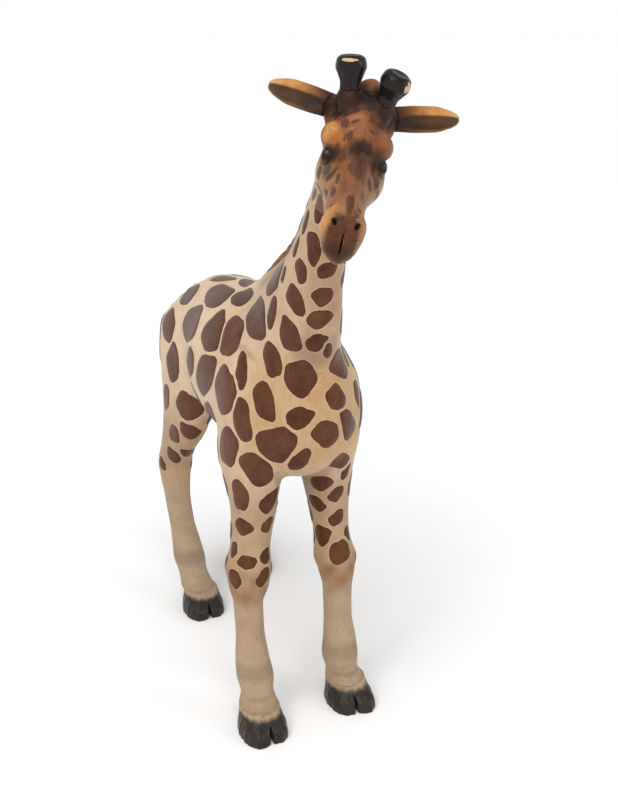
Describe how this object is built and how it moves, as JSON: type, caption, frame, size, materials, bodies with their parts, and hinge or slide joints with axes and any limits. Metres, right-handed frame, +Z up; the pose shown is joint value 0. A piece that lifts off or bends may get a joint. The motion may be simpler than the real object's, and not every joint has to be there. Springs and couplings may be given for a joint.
{
  "type": "carved giraffe statue",
  "caption": "Standing carved and painted giraffe figure in mid stride, head turned to its right, on cloven hooves with flat soles.",
  "frame": {"origin": "centre of the bounding box at floor level, on the plane of the four soles", "axes": "+Z up from the soles to the horns, -Y the way the giraffe walks, +X the giraffe's left"},
  "size_m": [0.2001, 0.6407, 0.7704],
  "materials": {
    "painted_hide": "cream ground with brown patches, hand painted and varnished",
    "head_paint": "shaded orange-brown paint, glossy on the muzzle",
    "ear_paint": "orange-brown back, grey-brown hollow",
    "horn_dark": "near-black gloss with worn rims",
    "eye_glass": "dark polished bead",
    "mane_brown": "rough-cut, red-brown paint",
    "hoof_black": "black-brown gloss with chipped lower edge",
    "dowel_wood": "bare glued wood"
  },
  "bodies": {
    "root": {"torso": "painted_hide", "neck": "painted_hide", "head": "head_paint", "ear_left": "ear_paint", "ear_right": "ear_paint", "ossicone_left": "horn_dark", "ossicone_right": "horn_dark", "eye_left": "eye_glass", "eye_right": "eye_glass", "mane": "mane_brown", "leg_front_right": "painted_hide", "leg_front_left": "painted_hide", "leg_rear_right": "painted_hide", "leg_rear_left": "painted_hide", "hoof_front_right": "hoof_black", "hoof_front_left": "hoof_black", "hoof_rear_right": "hoof_black", "hoof_rear_left": "hoof_black", "tail": "mane_brown", "neck_dowel": "dowel_wood", "head_dowel": "dowel_wood", "leg_dowels": "dowel_wood", "hoof_pins": "dowel_wood", "ear_pegs": "dowel_wood", "ossicone_pegs": "dowel_wood", "tail_peg": "dowel_wood"}
  },
  "joints": []
}
